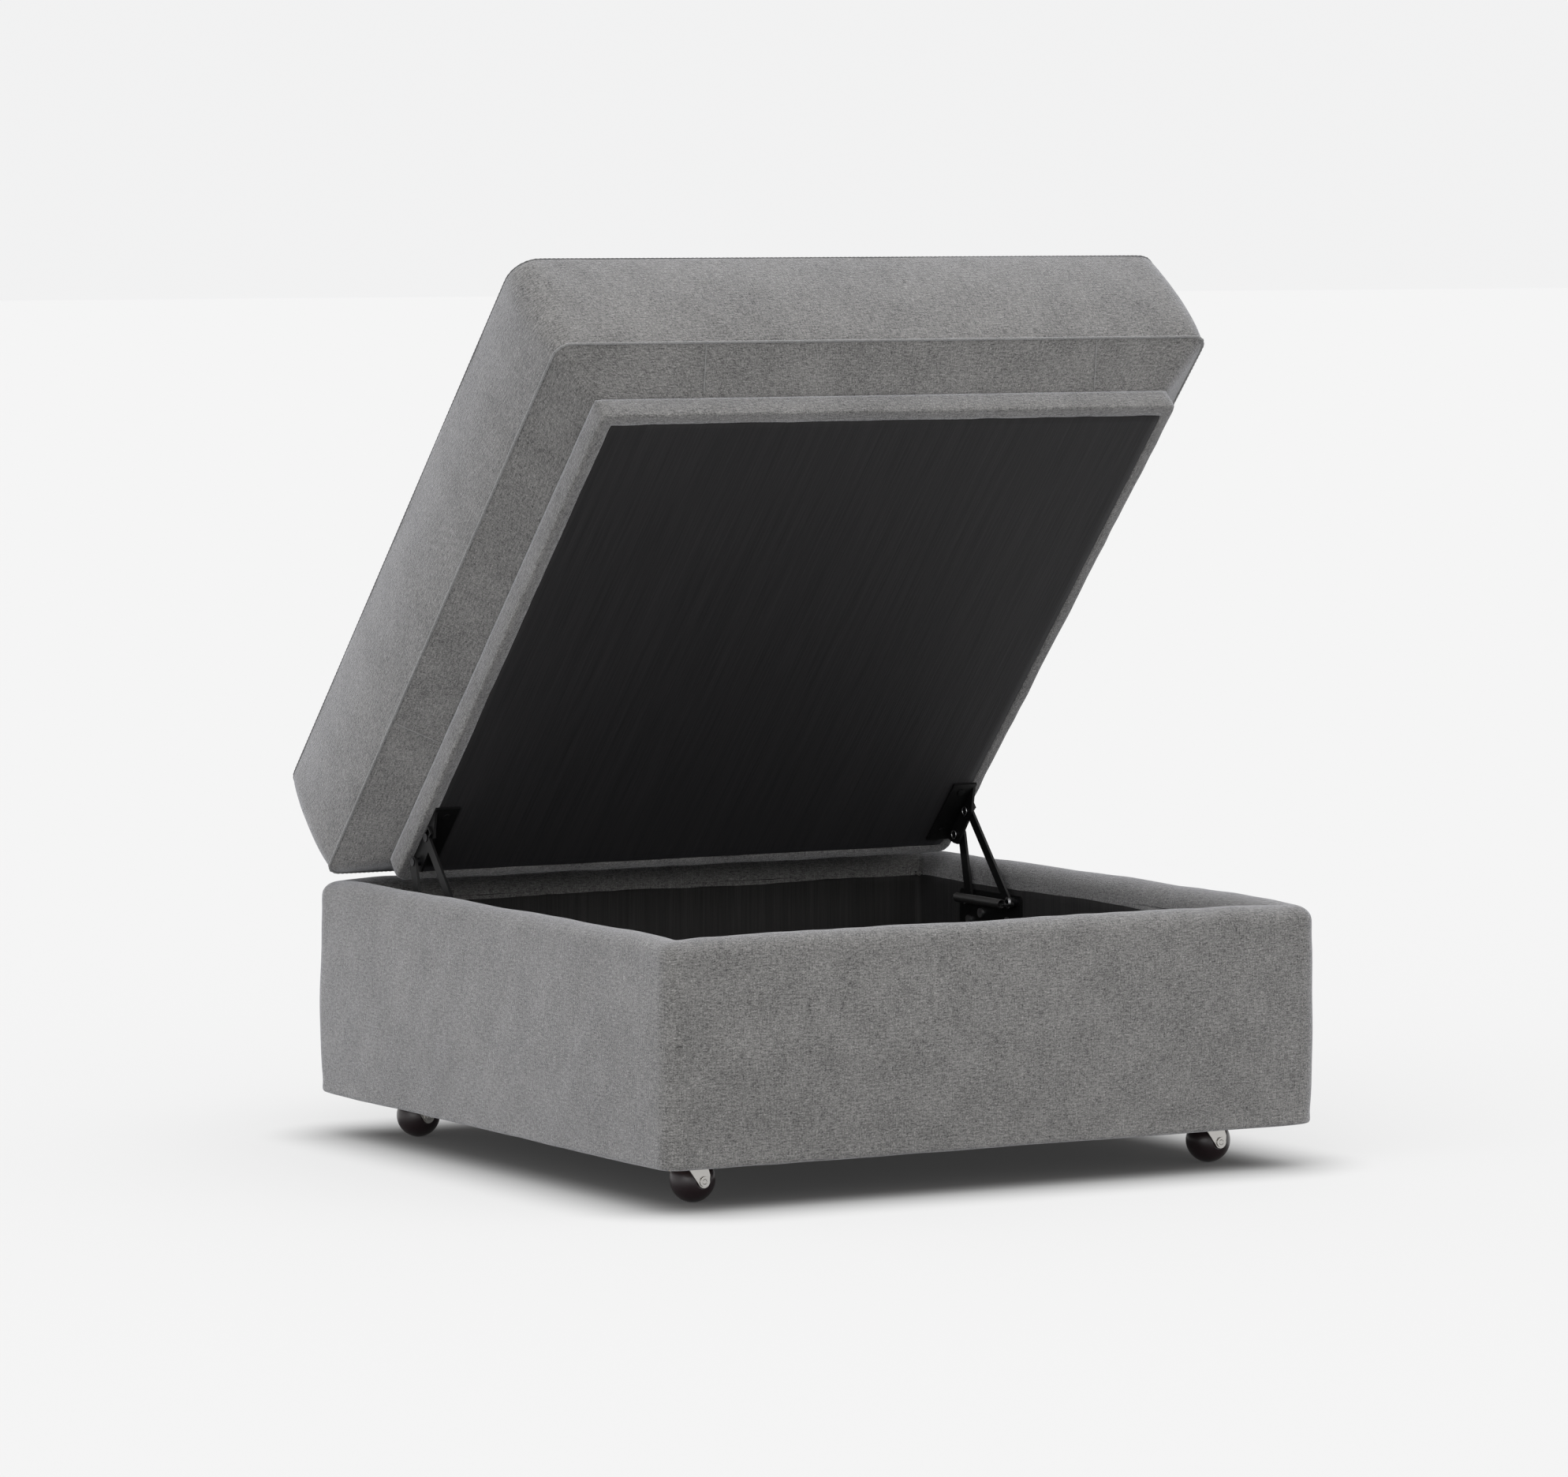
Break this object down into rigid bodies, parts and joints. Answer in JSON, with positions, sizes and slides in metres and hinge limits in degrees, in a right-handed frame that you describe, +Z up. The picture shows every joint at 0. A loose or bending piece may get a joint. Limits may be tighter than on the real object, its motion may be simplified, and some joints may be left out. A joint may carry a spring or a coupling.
{
  "type": "storage ottoman",
  "caption": "Square upholstered storage ottoman on ball casters, with a boxed cushion lid held open on spring-assisted lift hinges above a lined well.",
  "frame": {"origin": "on the floor, under the middle of the upholstered box", "axes": "+X along the front towards its right end, -Y out of the front, +Y towards the hinged back, +Z up; the lid is modelled held open"},
  "size_m": [0.842, 0.9041, 1.0148],
  "materials": {
    "upholstery": "matte",
    "black_lining": "satin",
    "foam": "matte",
    "plywood": "matte",
    "softwood": "matte",
    "black_steel": "satin",
    "rivet_steel": "gloss",
    "spring_steel": "satin",
    "bright_steel": "satin",
    "caster_metal": "satin",
    "caster_ball": "satin"
  },
  "bodies": {
    "base": {"front_panel": "plywood", "back_panel": "plywood", "left_panel": "plywood", "right_panel": "plywood", "top_rail_front": "softwood", "top_rail_back": "softwood", "top_rail_left": "softwood", "top_rail_right": "softwood", "corner_posts": "softwood", "bottom_board": "plywood", "bottom_cleats": "softwood", "base_foam": "foam", "base_cover": "upholstery", "lining_walls": "black_lining", "lining_floor": "black_lining", "base_dust_cover": "black_lining", "caster_plate_front_left": "caster_metal", "caster_plate_front_right": "caster_metal", "caster_plate_back_left": "caster_metal", "caster_plate_back_right": "caster_metal", "caster_kingpins": "caster_metal", "caster_races": "caster_metal", "caster_screws": "bright_steel", "hinge_base_plate_left": "black_steel", "hinge_base_plate_right": "black_steel", "hinge_base_rivets_left": "rivet_steel", "hinge_base_rivets_right": "rivet_steel", "hinge_base_bolts": "bright_steel", "hinge_spring_right": "spring_steel", "hinge_spring_left": "spring_steel"},
    "rear_link_right": {"rear_link_right": "black_steel"},
    "rear_link_left": {"rear_link_left": "black_steel"},
    "front_link_right": {"front_link_right": "black_steel"},
    "front_link_left": {"front_link_left": "black_steel"},
    "lid": {"lid_board": "plywood", "lid_foam": "foam", "lid_cover": "upholstery", "welt_top": "upholstery", "welt_bottom": "upholstery", "plinth_board": "plywood", "plinth_cover": "upholstery", "lid_dust_cover": "black_lining", "hinge_lid_plate_left": "black_steel", "hinge_lid_plate_right": "black_steel", "hinge_lid_rivets_left": "rivet_steel", "hinge_lid_rivets_right": "rivet_steel", "hinge_lid_screws": "black_steel"},
    "caster_swivel_front_left": {"caster_fork_front_left": "caster_metal", "caster_axle_front_left": "caster_metal"},
    "caster_ball_front_left": {"caster_wheel_front_left": "caster_ball"},
    "caster_swivel_front_right": {"caster_fork_front_right": "caster_metal", "caster_axle_front_right": "caster_metal"},
    "caster_ball_front_right": {"caster_wheel_front_right": "caster_ball"},
    "caster_swivel_back_left": {"caster_fork_back_left": "caster_metal", "caster_axle_back_left": "caster_metal"},
    "caster_ball_back_left": {"caster_wheel_back_left": "caster_ball"},
    "caster_swivel_back_right": {"caster_fork_back_right": "caster_metal", "caster_axle_back_right": "caster_metal"},
    "caster_ball_back_right": {"caster_wheel_back_right": "caster_ball"}
  },
  "joints": [
    {"name": "rear_link_right_pivot", "type": "hinge", "parent": "base", "child": "rear_link_right", "pos_m": [0.3665, 0.2467, 0.2474], "axis": [1, 0, 0], "range_deg": [-77.84, 0.05], "deforming": ["hinge_spring_right"]},
    {"name": "rear_link_left_pivot", "type": "hinge", "parent": "base", "child": "rear_link_left", "pos_m": [-0.3665, 0.2467, 0.2474], "axis": [1, 0, 0], "range_deg": [-77.84, 0.05], "deforming": ["hinge_spring_left"]},
    {"name": "front_link_right_pivot", "type": "hinge", "parent": "base", "child": "front_link_right", "pos_m": [0.362, 0.1519, 0.251], "axis": [1, 0, 0], "range_deg": [-51.55, 0.05]},
    {"name": "front_link_left_pivot", "type": "hinge", "parent": "base", "child": "front_link_left", "pos_m": [-0.362, 0.1519, 0.251], "axis": [1, 0, 0], "range_deg": [-51.55, 0.05]},
    {"name": "lid_lift", "type": "hinge", "parent": "rear_link_right", "child": "lid", "pos_m": [0.3665, 0.26394, 0.32356], "axis": [1, 0, 0], "range_deg": [0, 125.34], "stiffness_Nm_per_rad": 60, "springref_deg": -68.75},
    {"name": "caster_swivel_front_left", "type": "hinge", "parent": "base", "child": "caster_swivel_front_left", "pos_m": [-0.345, -0.322, 0.0545], "axis": [0, 0, 1], "continuous": true},
    {"name": "caster_roll_front_left", "type": "hinge", "parent": "caster_swivel_front_left", "child": "caster_ball_front_left", "pos_m": [-0.332, -0.322, 0.025], "axis": [0, 1, 0], "continuous": true},
    {"name": "caster_swivel_front_right", "type": "hinge", "parent": "base", "child": "caster_swivel_front_right", "pos_m": [0.319, -0.322, 0.0545], "axis": [0, 0, 1], "continuous": true},
    {"name": "caster_roll_front_right", "type": "hinge", "parent": "caster_swivel_front_right", "child": "caster_ball_front_right", "pos_m": [0.332, -0.322, 0.025], "axis": [0, 1, 0], "continuous": true},
    {"name": "caster_swivel_back_left", "type": "hinge", "parent": "base", "child": "caster_swivel_back_left", "pos_m": [-0.345, 0.322, 0.0545], "axis": [0, 0, 1], "continuous": true},
    {"name": "caster_roll_back_left", "type": "hinge", "parent": "caster_swivel_back_left", "child": "caster_ball_back_left", "pos_m": [-0.332, 0.322, 0.025], "axis": [0, 1, 0], "continuous": true},
    {"name": "caster_swivel_back_right", "type": "hinge", "parent": "base", "child": "caster_swivel_back_right", "pos_m": [0.319, 0.322, 0.0545], "axis": [0, 0, 1], "continuous": true},
    {"name": "caster_roll_back_right", "type": "hinge", "parent": "caster_swivel_back_right", "child": "caster_ball_back_right", "pos_m": [0.332, 0.322, 0.025], "axis": [0, 1, 0], "continuous": true}
  ],
  "couplings": [
    {"joint": "rear_link_right_pivot", "follows": "lid_lift", "ratio": -0.62063},
    {"joint": "rear_link_left_pivot", "follows": "lid_lift", "ratio": -0.62063},
    {"joint": "front_link_right_pivot", "follows": "lid_lift", "ratio": -0.41088},
    {"joint": "front_link_left_pivot", "follows": "lid_lift", "ratio": -0.41088}
  ]
}
